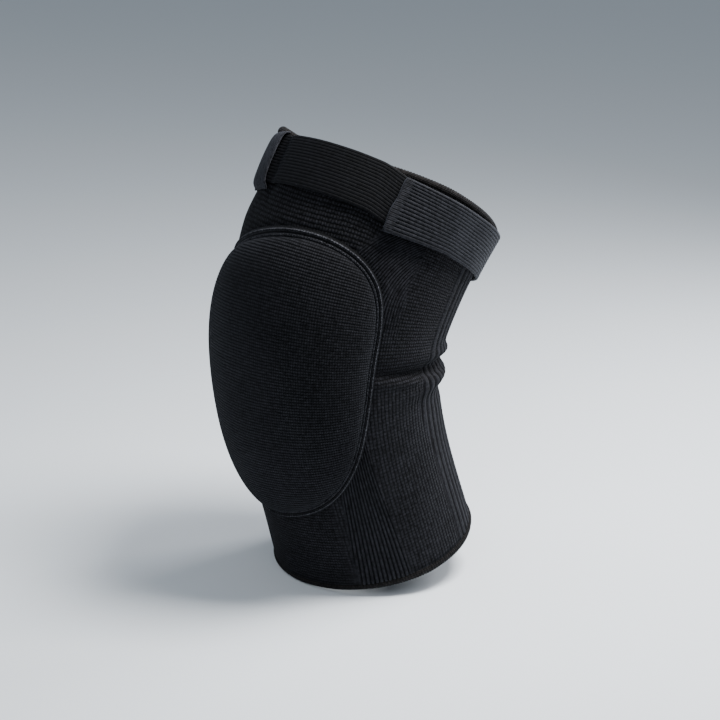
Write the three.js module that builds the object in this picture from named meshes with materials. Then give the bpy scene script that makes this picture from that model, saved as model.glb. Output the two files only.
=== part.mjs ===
// Volleyball knee pad: a knitted sleeve with a foam cushion on its front and an elastic strap.
// Millimetres. The wearer faces -Y, +X is the wearer's left and +Z is up.
// The origin is the middle of the leg, half way along the sleeve.
import * as THREE from "three";

const { degToRad, lerp, radToDeg, smoothstep } = THREE.MathUtils;

const fullTurn = 360;

// Clearance between two pieces that touch, and what flat faces on a round piece add to it
const touch = 0.3;
const facetSag = 0.2;

// The leg inside the sleeve: lengths run along its centre line, leans are degrees from upright, and
// legBeyond is how far the line runs on past both ends
const sleeveLength = 219;
const shinLean = 18;
const thighLean = 37;
const bendAbovePad = 24;
const bendLength = 170;
const legBeyond = 20;

// Outside sizes of the sleeve, across the knee and from front to back
const shinWidth = 115;
const shinDepth = 109;
const kneeWidth = 112.6;
const kneeDepth = 114;
const thighWidth = 122.8;
const thighDepth = 134;
const kneeFlat = 5;

// The knitted cloth and how far its two ends are cut away in front. rimTurn is where the rim is
// lowest, and each power is how fast that cut fades round the leg and along it
const sleeveWall = 2.2;
const hemSlant = 5;
const rimSlant = 13.7;
const rimTurn = 14;
const hemSlantPower = 2.5;
const rimSlantPower = 4;
const slantFadePower = 3;

// Rolled edges: along the leg, and beyond the outside of the sleeve
const hemHeight = 4.2;
const hemBulge = 0.8;

// Folds behind the knee
const foldAbovePad = 9.5;
const foldPitch = 10;
const foldDepth = 3;

// Cushion on the front of the knee: the bare cloth below and above it set its height
const padToHem = 51.6;
const padToStrap = 19.6;
const padWidth = 143;
const padTurn = 3.3;
const padTilt = -12.4;
const padEdge = 1.8;
const padRise = 12;
const padSeat = 0.75;

// Band of stitching round the cushion
const seamWidth = 5;
const seamRise = 1.5;

// Elastic strap round the thigh: strapJoint and tabTurn are degrees from the front. Its tab laps over
// the strap, starts to come down a little past the strap's end, and is down after tabRise. In front
// the strap is pulled up by strapRaise, most at raiseTurn, and raisePower is how fast that fades
const strapWidth = 27;
const strapThickness = 1.6;
const strapToRim = 7.2;
const strapSlant = 5.2;
const strapRaise = 3;
const raiseTurn = 35;
const raisePower = 4;
const strapJoint = -151;
const tabTurn = 57;
const tabLap = 28;
const tabClear = 2.2;
const tabRise = 21.5;
const tabThickness = 2.6;

// Tape that holds the strap in front: keeperTurn is its angle
const keeperTurn = -25;
const keeperWidth = 20;
const keeperThickness = 1.2;
const keeperStand = 0.9;
const keeperFoot = 2.6;
const keeperHead = 3.5;

// How finely each piece is divided
const sleeveColumns = 44;
const coarseStep = 11;
const foldStep = 2.7;
const padColumns = 44;
const padRings = 9;
const seamColumns = 64;
const hemColumns = 44;
const strapStep = 8.2;

// Sections of the sleeve from hem to rim: at is a share of its length, shin, knee and thigh are
// shares of those sizes, and flat is a share of kneeFlat
const sections = [
  { at: 0.0, shin: 1.0, knee: 0.0, thigh: 0.0, flat: 0.0 },
  { at: 0.25, shin: 0.5, knee: 0.47, thigh: 0.0, flat: 0.15 },
  { at: 0.5, shin: 0.0, knee: 1.0, thigh: 0.0, flat: 1.0 },
  { at: 0.75, shin: 0.0, knee: 0.5, thigh: 0.52, flat: 0.25 },
  { at: 1.0, shin: 0.0, knee: 0.0, thigh: 1.0, flat: 0.0 },
];

// Folds: step and width are shares of foldPitch, above the crease and along the leg. height is a
// share of foldDepth, and reach is how many degrees round from the back the fold runs
const folds = [
  { step: 0.75, width: 0.42, height: 0.75, reach: 85 },
  { step: 0.0, width: 0.3, height: -0.7, reach: 112 },
  { step: -1.25, width: 0.5, height: 1.0, reach: 108 },
  { step: -2.5, width: 0.55, height: -0.3, reach: 80 },
];

// Outline of the cushion: how square it is, and the shares by which it widens to the top and the ends
const outlinePower = 2.45;
const eggShare = 0.244;
const waistShare = 0.08;

// Roundness of the cushion's top
const crownPower = 2.4;
const shoulderPower = 0.72;

// Cross section of the seam: across and rise are shares of seamWidth and seamRise
const seamProfile = [
  { across: -0.5, rise: 0.0 },
  { across: -0.5, rise: 0.55 },
  { across: -0.26, rise: 1.0 },
  { across: 0.0, rise: 0.5 },
  { across: 0.26, rise: 1.0 },
  { across: 0.5, rise: 0.55 },
  { across: 0.5, rise: 0.0 },
];

// Sides of a rolled edge's section
const hemSides = 8;

// The keeper's way over the strap: across is a share of the strap's width from its middle, and
// stand is a share of keeperStand above the strap
const keeperPath = [
  { across: -0.48, stand: 0.0 },
  { across: -0.3, stand: 0.75 },
  { across: 0.0, stand: 1.0 },
  { across: 0.3, stand: 0.75 },
  { across: 0.48, stand: 0.0 },
];

// Places along the leg that several pieces share
const strapMiddle = sleeveLength - strapToRim - strapWidth / 2;
const padTop = strapMiddle - strapWidth / 2 - padToStrap;
const padMiddle = (padToHem + padTop) / 2;
const padHalfHeight = (padTop - padToHem) / 2;
const bendMiddle = padMiddle + bendAbovePad;
const crease = padMiddle + foldAbovePad;

// Lean of the leg at a distance along it, in radians
function leanAt(along) {
  const bent = smoothstep(along, bendMiddle - bendLength / 2, bendMiddle + bendLength / 2);
  return degToRad(lerp(-shinLean, thighLean, bent));
}

// The leg's centre line, summed up in short steps and moved so that its middle is the origin
const legSteps = 220;
const legStart = -legBeyond;
const legStep = (sleeveLength + 2 * legBeyond) / legSteps;
const legLine = [new THREE.Vector2(0, 0)];
for (let i = 0; i < legSteps; i += 1) {
  const lean = leanAt(legStart + (i + 0.5) * legStep);
  legLine.push(new THREE.Vector2(Math.sin(lean), Math.cos(lean)).multiplyScalar(legStep).add(legLine[i]));
}

function onLegLine(along) {
  const place = (along - legStart) / legStep;
  const i = Math.min(Math.max(Math.floor(place), 0), legSteps - 1);
  return legLine[i].clone().lerp(legLine[i + 1], place - i);
}

const legMiddle = onLegLine(sleeveLength / 2);

// A smooth curve through one column of the sections table
function sectionShare(column, along) {
  const last = sections.length - 1;
  const place = Math.min(Math.max((along / sleeveLength) * last, 0), last);
  const i = Math.min(Math.floor(place), last - 1);
  const value = (k) => sections[Math.min(Math.max(k, 0), last)][column];
  const rise = (k) => (value(k + 1) - value(k - 1)) / (k === 0 || k === last ? 1 : 2);
  const t = place - i;
  const start = (2 * t ** 3 - 3 * t ** 2 + 1) * value(i) + (t ** 3 - 2 * t ** 2 + t) * rise(i);
  return start + (3 * t ** 2 - 2 * t ** 3) * value(i + 1) + (t ** 3 - t ** 2) * rise(i + 1);
}

// How far the folds behind the knee lift the cloth
function foldLift(along, angle) {
  const fromBack = Math.abs(Math.abs(angle) - fullTurn / 2);
  let lift = 0;
  for (const fold of folds) {
    const away = (along - crease - fold.step * foldPitch) / (fold.width * foldPitch);
    const fade = 1 - smoothstep(fromBack / fold.reach, 0.5, 1);
    lift += fold.height * foldDepth * fade * Math.exp(-away * away);
  }
  return lift;
}

// A point on the sleeve: angle is in degrees from the front towards +X, out is beyond the outside
function onSleeve(along, angle, out) {
  const turn = degToRad(angle);
  const shin = sectionShare("shin", along);
  const knee = sectionShare("knee", along);
  const thigh = sectionShare("thigh", along);
  const front = Math.max(Math.cos(turn), 0) ** 2;
  const halfWidth = (shin * shinWidth + knee * kneeWidth + thigh * thighWidth) / 2;
  const flat = sectionShare("flat", along) * kneeFlat * front;
  const halfDepth = (shin * shinDepth + knee * kneeDepth + thigh * thighDepth) / 2 - flat;
  const beyond = out + foldLift(along, angle);
  const forward = (halfDepth + beyond) * Math.cos(turn);
  const lean = leanAt(along);
  const middle = onLegLine(along).sub(legMiddle);
  return new THREE.Vector3(
    (halfWidth + beyond) * Math.sin(turn),
    middle.x - forward * Math.cos(lean),
    middle.y + forward * Math.sin(lean),
  );
}

// How far an angle is to the front: 1 in front and 0 at the back
function frontShare(angle) {
  return (1 + Math.cos(degToRad(angle))) / 2;
}

// A course of the knit: level in the middle of the sleeve, cut away in front at its hem and rim
function courseAt(along, angle) {
  const share = Math.min(Math.max(along / sleeveLength, 0), 1);
  const hemRise = hemSlant * (1 - share) ** slantFadePower * frontShare(angle) ** hemSlantPower;
  const rimDrop = rimSlant * share ** slantFadePower * frontShare(angle - rimTurn) ** rimSlantPower;
  return along + hemRise - rimDrop;
}

// Angles of evenly spaced columns round the leg
function columnsRound(count) {
  return Array.from({ length: count }, (_, i) => fullTurn * (i / count - 0.5));
}

// A closed body from loops of points: it closes on itself like a ring, or has a cap at each end
function solidFromLoops(loops, isRing) {
  const around = loops[0].length;
  const points = loops.flat();
  const faces = [];
  const spans = isRing ? loops.length : loops.length - 1;
  for (let i = 0; i < spans; i += 1) {
    const here = i * around;
    const next = ((i + 1) % loops.length) * around;
    for (let j = 0; j < around; j += 1) {
      const k = (j + 1) % around;
      faces.push(here + j, here + k, next + k, here + j, next + k, next + j);
    }
  }
  if (!isRing) {
    [0, loops.length - 1].forEach((i) => {
      const centre = points.length;
      const sum = loops[i].reduce((total, point) => total.add(point), new THREE.Vector3());
      points.push(sum.divideScalar(around));
      for (let j = 0; j < around; j += 1) {
        const k = (j + 1) % around;
        const edge = i === 0 ? [k, j] : [j, k];
        faces.push(centre, i * around + edge[0], i * around + edge[1]);
      }
    });
  }
  let volume = 0;
  for (let f = 0; f < faces.length; f += 3) {
    const [a, b, c] = [points[faces[f]], points[faces[f + 1]], points[faces[f + 2]]];
    volume += a.dot(b.clone().cross(c));
  }
  if (volume < 0) {
    faces.reverse();
  }
  const geometry = new THREE.BufferGeometry().setFromPoints(points);
  geometry.setIndex(faces);
  geometry.computeVertexNormals();
  return geometry;
}

function piece(name, geometry, colour, roughness) {
  const material = new THREE.MeshStandardMaterial({ color: colour, roughness, metalness: 0 });
  const mesh = new THREE.Mesh(geometry, material);
  mesh.name = name;
  return mesh;
}

// Distances along the sleeve at which it has a ring of points: close together across the folds
function ringPlaces() {
  const steps = folds.map((fold) => crease + fold.step * foldPitch);
  const low = Math.min(...steps) - foldPitch / 2;
  const high = Math.max(...steps) + foldPitch;
  const end = hemHeight + touch;
  const places = [];
  const spread = (from, to, step) => {
    const count = Math.max(Math.round((to - from) / step), 1);
    for (let i = 0; i < count; i += 1) {
      places.push(lerp(from, to, i / count));
    }
  };
  spread(end, low, coarseStep);
  spread(low, high, foldStep);
  spread(high, sleeveLength - end, coarseStep);
  places.push(sleeveLength - end);
  return places;
}

function sleeve() {
  const places = ringPlaces();
  const angles = columnsRound(sleeveColumns);
  const ring = (along, out) => angles.map((angle) => onSleeve(courseAt(along, angle), angle, out));
  const outside = places.map((along) => ring(along, 0));
  const inside = places.toReversed().map((along) => ring(along, -sleeveWall));
  return solidFromLoops([...outside, ...inside], true);
}

// A rolled edge that closes one end of the sleeve: middle is the distance along to its centre
function rolledEdge(middle) {
  const halfOut = (sleeveWall + 2 * hemBulge) / 2;
  const loops = columnsRound(hemColumns).map((angle) =>
    Array.from({ length: hemSides }, (_, i) => {
      const turn = (2 * Math.PI * (i + 0.5)) / hemSides;
      const along = middle + (hemHeight / 2) * Math.cos(turn) / Math.cos(Math.PI / hemSides);
      const out = halfOut * Math.sin(turn) / Math.cos(Math.PI / hemSides) - sleeveWall / 2;
      return onSleeve(courseAt(along, angle), angle, out);
    }),
  );
  return solidFromLoops(loops, true);
}

// A point on the cushion's plan: share 1 is the seam's centre line, inset is measured inwards from it
function onPadPlan(turn, share, inset) {
  const shape = (value) => Math.sign(value) * Math.abs(value) ** (2 / outlinePower);
  const up = shape(Math.sin(turn));
  const side = shape(Math.cos(turn));
  const halfWidth = (padWidth / 2) * (1 + eggShare * up + waistShare * (up * up - 1 / 3));
  const plan = new THREE.Vector2(side * halfWidth, up * padHalfHeight);
  plan.multiplyScalar(share * (1 - inset / plan.length()));
  plan.rotateAround(new THREE.Vector2(0, 0), degToRad(-padTilt));
  const radius = kneeWidth / 2 + sleeveWall;
  return { along: padMiddle + plan.y, angle: padTurn + radToDeg(plan.x / radius) };
}

function kneePad() {
  const inset = seamWidth / 2 + touch;
  const ring = (share, rise) =>
    Array.from({ length: padColumns }, (_, i) => {
      const place = onPadPlan((2 * Math.PI * i) / padColumns, share, inset);
      return onSleeve(place.along, place.angle, padSeat + rise);
    });
  const top = [];
  const bottom = [];
  for (let i = 1; i <= padRings; i += 1) {
    const share = Math.sin((Math.PI / 2) * (i / padRings));
    const crown = (1 - share ** crownPower) ** shoulderPower;
    top.push(ring(share, padEdge + (padRise - padEdge) * crown));
    bottom.unshift(ring(i / padRings, 0));
  }
  return solidFromLoops([...top, ...bottom], false);
}

function padSeam() {
  const loops = Array.from({ length: seamColumns }, (_, i) =>
    seamProfile.map(({ across, rise }) => {
      const place = onPadPlan((2 * Math.PI * i) / seamColumns, 1, -across * seamWidth);
      return onSleeve(place.along, place.angle, padSeat + rise * seamRise);
    }),
  );
  return solidFromLoops(loops, true);
}

// How far the front strap lies above the rear one
function raiseAt(angle) {
  return strapRaise * frontShare(angle - raiseTurn) ** raisePower;
}

// Distance along the leg to a place across a strap: across is in millimetres from its middle
function acrossStrap(across, angle, raise) {
  const middle = strapMiddle - strapSlant * Math.cos(degToRad(angle)) + raise;
  const stretch = onSleeve(middle + 0.5, angle, 0).distanceTo(onSleeve(middle - 0.5, angle, 0));
  return middle + across / stretch;
}

// A strap from one angle to another: shapeAt gives its seat, thickness and raise by angle
function strapBand(from, to, shapeAt) {
  const count = Math.round((to - from) / strapStep);
  const loops = Array.from({ length: count + 1 }, (_, i) => {
    const angle = lerp(from, to, i / count);
    const { seat, thickness, raise } = shapeAt(angle);
    const corner = (side, share) => {
      const along = acrossStrap((side * strapWidth) / 2, angle, raise);
      return onSleeve(along, angle, seat + share * thickness);
    };
    return [corner(-1, 0), corner(-1, 1), corner(0, 1), corner(1, 1), corner(1, 0), corner(0, 0)];
  });
  return solidFromLoops(loops, false);
}

const strapSeat = hemBulge + touch + facetSag;
const tabSeat = strapSeat + strapThickness + touch + facetSag;

// Degrees that a length takes up round the thigh
function turnOf(length) {
  return radToDeg(length / (thighWidth / 2));
}

const frontStrapEnd = tabTurn + turnOf(tabLap);

function frontStrap() {
  return strapBand(strapJoint, frontStrapEnd, (angle) => ({
    seat: strapSeat,
    thickness: strapThickness,
    raise: raiseAt(angle),
  }));
}

// The rear strap climbs onto the front strap, and its folded end is thicker
function rearStrap() {
  const lapEnd = frontStrapEnd + turnOf(tabClear);
  const down = lapEnd + turnOf(tabRise);
  return strapBand(tabTurn, fullTurn + strapJoint - turnOf(touch), (angle) => ({
    seat: lerp(tabSeat, strapSeat, smoothstep(angle, lapEnd, down)),
    thickness: lerp(tabThickness, strapThickness, smoothstep(angle, tabTurn, lapEnd)),
    raise: 0,
  }));
}

function keeperLoop() {
  const halfAngle = turnOf(keeperWidth / 2);
  const clear = touch + facetSag;
  const edge = strapWidth / 2 + clear;
  const path = [
    new THREE.Vector2(-edge - keeperFoot, clear),
    new THREE.Vector2(-edge - strapThickness, clear),
    new THREE.Vector2(-edge, strapSeat + strapThickness),
    ...keeperPath.map(
      ({ across, stand }) => new THREE.Vector2(across * strapWidth, tabSeat + stand * keeperStand),
    ),
    new THREE.Vector2(edge, strapSeat + strapThickness),
    new THREE.Vector2(edge + keeperThickness, hemBulge + clear),
    new THREE.Vector2(edge + keeperHead, hemBulge + clear),
  ];
  const loops = path.map((point, i) => {
    const before = path[Math.max(i - 1, 0)];
    const after = path[Math.min(i + 1, path.length - 1)];
    const forward = after.clone().sub(before).normalize();
    const outer = new THREE.Vector2(-forward.y, forward.x).multiplyScalar(keeperThickness).add(point);
    const corner = (place, side) => {
      const angle = keeperTurn + side * halfAngle;
      return onSleeve(acrossStrap(place.x, angle, raiseAt(angle)), angle, place.y);
    };
    return [
      corner(point, -1),
      corner(point, 0),
      corner(point, 1),
      corner(outer, 1),
      corner(outer, 0),
      corner(outer, -1),
    ];
  });
  return solidFromLoops(loops, false);
}

const kneePadAssembly = new THREE.Group();
kneePadAssembly.add(
  piece("sleeve", sleeve(), 0x17181b, 0.95),
  piece("knee_pad", kneePad(), 0x141518, 0.92),
  piece("pad_seam", padSeam(), 0x1e1f23, 0.9),
  piece("top_hem", rolledEdge(sleeveLength - hemHeight / 2), 0x1b1c20, 0.9),
  piece("bottom_hem", rolledEdge(hemHeight / 2), 0x1d1b1b, 0.9),
  piece("front_strap", frontStrap(), 0x1b1c20, 0.85),
  piece("rear_strap", rearStrap(), 0x26272b, 0.85),
  piece("keeper_loop", keeperLoop(), 0x1c1d21, 0.85),
);

export default kneePadAssembly;
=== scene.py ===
import math

import bpy
import numpy as np
from mathutils import Matrix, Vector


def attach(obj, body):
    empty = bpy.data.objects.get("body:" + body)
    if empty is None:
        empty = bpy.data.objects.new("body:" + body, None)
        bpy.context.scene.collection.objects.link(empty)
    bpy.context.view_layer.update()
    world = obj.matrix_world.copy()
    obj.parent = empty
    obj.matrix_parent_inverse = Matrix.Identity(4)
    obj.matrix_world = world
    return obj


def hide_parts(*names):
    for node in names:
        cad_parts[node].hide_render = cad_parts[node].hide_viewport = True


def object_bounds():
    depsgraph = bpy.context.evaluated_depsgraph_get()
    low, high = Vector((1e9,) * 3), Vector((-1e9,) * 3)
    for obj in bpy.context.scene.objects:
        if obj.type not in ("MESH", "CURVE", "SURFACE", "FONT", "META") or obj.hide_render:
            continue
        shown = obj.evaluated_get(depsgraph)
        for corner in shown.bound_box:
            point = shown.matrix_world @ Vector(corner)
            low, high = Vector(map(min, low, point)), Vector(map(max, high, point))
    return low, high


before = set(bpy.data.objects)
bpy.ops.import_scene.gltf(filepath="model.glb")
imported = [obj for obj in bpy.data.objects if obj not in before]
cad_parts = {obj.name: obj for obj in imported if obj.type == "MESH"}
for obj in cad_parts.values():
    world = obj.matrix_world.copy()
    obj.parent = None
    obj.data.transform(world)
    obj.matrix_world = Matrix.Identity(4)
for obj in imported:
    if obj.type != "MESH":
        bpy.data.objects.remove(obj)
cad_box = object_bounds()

MM = 0.001

# The camera of the photograph
CAMERA_TURN = 50.0
CAMERA_RISE = 16.5
CAMERA_AWAY = 1200.0
CAMERA_AIM = (13.6, 3.4)
CAMERA_LENS = 111.1

# The leg inside the sleeve
SLEEVE_LENGTH = 219.0
SHIN_LEAN = 18.0
THIGH_LEAN = 37.0
BEND_ABOVE_PAD = 24.0
BEND_LENGTH = 170.0

# Outside sizes of the sleeve at its sections, from hem to rim, as in the frame
SHIN = (115.0, 109.0)
KNEE = (112.6, 114.0)
THIGH = (122.8, 134.0)
KNEE_FLAT = 5.0
SECTIONS = {
    "shin": (1.0, 0.5, 0.0, 0.0, 0.0),
    "knee": (0.0, 0.47, 1.0, 0.5, 0.0),
    "thigh": (0.0, 0.0, 0.0, 0.52, 1.0),
    "flat": (0.0, 0.15, 1.0, 0.25, 0.0),
}
SLEEVE_WALL = 2.2
HEM_SLANT = 5.0
RIM_SLANT = 13.7
RIM_TURN = 14.0
HEM_HEIGHT = 4.2
HEM_BULGE = 0.8

# Folds behind the knee: place and width along the leg, height, and how far round from the back
FOLD_ABOVE_PAD = 9.5
FOLDS = (
    {"up": 7.5, "width": 4.2, "height": 2.25, "reach": 85.0},
    {"up": 0.0, "width": 3.0, "height": -2.1, "reach": 112.0},
    {"up": -12.5, "width": 5.0, "height": 3.0, "reach": 108.0},
    {"up": -25.0, "width": 5.5, "height": -0.9, "reach": 80.0},
)

# The crease from the cushion to the back: angles where it starts and ends, and its place there
CREASE_TURNS = (66.0, 74.0, 93.0, 120.0, 140.0)
CREASE_PLACES = (119.0, 118.6, 117.2, 113.0, 112.0)
# Depth of the crease at those angles, in relief and in painted shade
CREASE_DEPTHS = (0.6, 1.5, 1.9, 1.0, 0.0)

# Padded front
PAD_TO_HEM = 51.6
PAD_TO_STRAP = 19.6
PAD_WIDTH = 143.0
PAD_TURN = 3.3
PAD_TILT = -12.4
PAD_SQUARE = 2.45
PAD_EGG = 0.244
PAD_WAIST = 0.08
PAD_RISE = 12.75
PAD_EDGE = 1.6
PAD_RIB = 1.7
PAD_RIB_HEIGHT = 0.3
PAD_ROW_DRIFT = 0.3
PAD_SOFTNESS = 0.45
PAD_OFF_CLOTH = 0.45
SEAM_WIDTH = 5.0
SEAM_RISE = 1.7
STITCH = 2.1

# Strap, tab and keeper
STRAP_WIDTH = 27.0
STRAP_THICKNESS = 1.6
STRAP_TO_RIM = 7.2
STRAP_SLANT = 5.2
STRAP_RAISE = 3.0
RAISE_TURN = 35.0
STRAP_JOINT = -151.0
STRAP_RIBS = 16
STRAP_GROOVE = 0.34
STRAP_SLACK = 0.25
STRAP_SEAT = 1.3
TAB_SEAT = 3.4
TAB_TURN = 57.0
TAB_LAP = 28.0
TAB_CLEAR = 2.2
TAB_RISE = 21.5
TAB_THICKNESS = 2.6
KEEPER_TURN = -20.5
KEEPER_WIDTH = 21.0
KEEPER_THICKNESS = 1.2
KEEPER_STAND = 0.9
KEEPER_FOOT = 2.6
KEEPER_HEAD = 1.0
KEEPER_CLEAR = 0.5
KEEPER_RIBS = 10
KEEPER_GROOVE = 0.14

# How the keeper bows over the strap: share of the strap's width, and share of the full height
KEEPER_BOW = ((-0.48, 0.0), (-0.4, 0.5), (-0.3, 0.78), (-0.15, 0.95), (0.0, 1.0), (0.15, 0.95),
              (0.3, 0.78), (0.4, 0.5), (0.48, 0.0))
KEEPER_SOFTENING = 14

# How the keeper draws the cloth in: a wide pull at its edge, and a narrow hollow beside it
PULL_TURN = -36.0
PULL_REACH = 15.0
PULL_DEPTH = 2.6
HOLLOW_TURN = -8.5
HOLLOW_REACH = 3.4
HOLLOW_DEPTH = 2.0
DRAWN_PLACES = (168.0, 190.0)

# Relief of the yarn round the hems, and the top hem gathered up beside the keeper
YARN_SWELL = 0.4
HEM_DRIFT = 0.16
GATHER_TURN = -29.0
GATHER_REACH = 17.0
GATHER_HEIGHT = 1.5

# The tab's end: how far round it is folded back, and how it flares towards its lower edge
FOLD_TURNS = (3.4, 4.6)
FLARE_TURN = 34.0
FLARE_SHARE = 0.17
END_TURN = 8.0
PLAIN_END = 0.03
TAB_END = 0.15

# Radii that turn angles into lengths on the cloth
KNIT_RADIUS = 58.0
STRAP_RADIUS = 62.0

# The floor lies this far under the lowest hem, in metres
FLOOR_GAP = 0.0005

# Turns of yarn round the hems
RIM_WRAPS = 236
LOW_WRAPS = 216

# Places that several pieces share
STRAP_MIDDLE = SLEEVE_LENGTH - STRAP_TO_RIM - STRAP_WIDTH / 2
PAD_TOP = STRAP_MIDDLE - STRAP_WIDTH / 2 - PAD_TO_STRAP
PAD_MIDDLE = (PAD_TO_HEM + PAD_TOP) / 2
PAD_HALF_HEIGHT = (PAD_TOP - PAD_TO_HEM) / 2
PAD_RADIUS = KNEE[0] / 2 + SLEEVE_WALL
BEND_MIDDLE = PAD_MIDDLE + BEND_ABOVE_PAD
CREASE = PAD_MIDDLE + FOLD_ABOVE_PAD


def smooth(value, low, high):
    share = np.clip((value - low) / (high - low), 0, 1)
    return share * share * (3 - 2 * share)


def hump(value, middle, reach):
    """A smooth hump: 1 at its middle, and near 0 at twice its reach from there."""
    return np.exp(-(((value - middle) / reach) ** 2))


def from_front(angle):
    """An angle as degrees from the front, from -180 to 180."""
    return (angle + 180) % 360 - 180


def ripple(place):
    """Height of a row of ribs: 0 in each valley, at whole numbers, and 1 on each rounded top."""
    return 1 - (1 - np.abs(np.sin(np.pi * place))) ** 2


def uneven(along, angle, size, seed):
    """Slow unevenness from -1 to 1, the same on both sides of the back."""
    turn = np.radians(angle)
    a = np.sin(along / size + 3 * np.cos(turn + seed) + seed)
    b = np.sin(along / (size * 0.61) + 2 * np.sin(2 * turn + 1.7 * seed))
    c = np.sin(along / (size * 1.7) + 4 * np.sin(turn * 3 + 0.6 * seed))
    return (a + b + c) / 3


# The leg and the sleeve's surface

def lean_at(along):
    bent = smooth(along, BEND_MIDDLE - BEND_LENGTH / 2, BEND_MIDDLE + BEND_LENGTH / 2)
    return np.radians(-SHIN_LEAN + (SHIN_LEAN + THIGH_LEAN) * bent)


LEG_PLACES = np.linspace(-20.0, SLEEVE_LENGTH + 20.0, 960)


def leg_line():
    middle = (LEG_PLACES[1:] + LEG_PLACES[:-1]) / 2
    step = LEG_PLACES[1] - LEG_PLACES[0]
    steps = np.stack([np.sin(lean_at(middle)), np.cos(lean_at(middle))]) * step
    line = np.concatenate([np.zeros((2, 1)), np.cumsum(steps, axis=1)], axis=1)
    centre = [np.interp(SLEEVE_LENGTH / 2, LEG_PLACES, row) for row in line]
    return line - np.array(centre)[:, None]


LEG_LINE = leg_line()


def section(column, along):
    """A smooth curve through one column of the sections."""
    row = np.array(SECTIONS[column])
    last = len(row) - 1
    slope = np.gradient(row)
    place = np.clip(along / SLEEVE_LENGTH * last, 0, last)
    low = np.minimum(place.astype(int), last - 1)
    t = place - low
    start = (2 * t**3 - 3 * t**2 + 1) * row[low] + (t**3 - 2 * t**2 + t) * slope[low]
    return start + (3 * t**2 - 2 * t**3) * row[low + 1] + (t**3 - t**2) * slope[low + 1]


def fold_lift(along, angle):
    from_back = np.abs(np.abs(from_front(angle)) - 180)
    lift = np.zeros(np.broadcast(along, angle).shape)
    for fold in FOLDS:
        away = (along - CREASE - fold["up"]) / fold["width"]
        fade = 1 - smooth(from_back / fold["reach"], 0.5, 1)
        lift = lift + fold["height"] * fade * np.exp(-away * away)
    return lift


def front_length(along):
    """Distance along the front of the knee, where the bend stretches the cloth."""
    return along + KNEE[1] / 2 * 1.17 * lean_at(along)


def crease_relief(along, angle):
    """The valley that runs from the cushion to the folds, and the soft ridge under it: their height,
    and painted shade along the valley.
    """
    side = np.abs(from_front(angle))
    middle = np.interp(side, CREASE_TURNS, CREASE_PLACES)
    depth = np.interp(side, CREASE_TURNS, CREASE_DEPTHS, left=0, right=0)
    up = along - middle
    valley = np.where(up > 0, hump(up, 0, 5.5), hump(up, 0, 1.8))
    return depth * (0.55 * hump(up, -4.6, 2.2) - valley), depth * valley


def drawn_in(along, angle, hollow):
    """How far the keeper draws the cloth in: round its own edge, and in a hollow beside it."""
    off = from_front(angle)
    pull = PULL_DEPTH * hump(off, PULL_TURN, PULL_REACH)
    dip = hollow * HOLLOW_DEPTH * hump(off, HOLLOW_TURN, HOLLOW_REACH)
    return (pull + dip) * smooth(along, *DRAWN_PLACES)


def on_sleeve(along, angle, out, hollow=1.0):
    """Points in metres. angle is in degrees from the front towards +X, out is beyond the outside of
    the cloth, and hollow is the share of the hollow beside the keeper that the piece follows."""
    along, angle, out = np.broadcast_arrays(*(np.asarray(v, float) for v in (along, angle, out)))
    turn = np.radians(angle)
    shares = [section(name, along) for name in ("shin", "knee", "thigh")]
    half_width = sum(share * size[0] / 2 for share, size in zip(shares, (SHIN, KNEE, THIGH)))
    half_depth = sum(share * size[1] / 2 for share, size in zip(shares, (SHIN, KNEE, THIGH)))
    half_depth = half_depth - section("flat", along) * KNEE_FLAT * np.maximum(np.cos(turn), 0) ** 2
    beyond = out + fold_lift(along, angle) - drawn_in(along, angle, hollow)
    forward = (half_depth + beyond) * np.cos(turn)
    lean = lean_at(along)
    middle_y = np.interp(along, LEG_PLACES, LEG_LINE[0])
    middle_z = np.interp(along, LEG_PLACES, LEG_LINE[1])
    side = (half_width + beyond) * np.sin(turn)
    points = [side, middle_y - forward * np.cos(lean), middle_z + forward * np.sin(lean)]
    return np.stack(points, -1) * MM


def course_at(along, angle):
    """A course of the knit: level in the middle, cut away in front at the hem and the rim."""
    share = np.clip(along / SLEEVE_LENGTH, 0, 1)
    hem_front = (1 + np.cos(np.radians(angle))) / 2
    rim_front = (1 + np.cos(np.radians(angle - RIM_TURN))) / 2
    return along + HEM_SLANT * (1 - share) ** 3 * hem_front**2.5 - RIM_SLANT * share**3 * rim_front**4


# Meshes from grids of points

def mark_points(mesh, name, values):
    mark = mesh.attributes.new(name, "FLOAT", "POINT")
    mark.data.foreach_set("value", np.clip(values, 0, 1).ravel())


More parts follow.
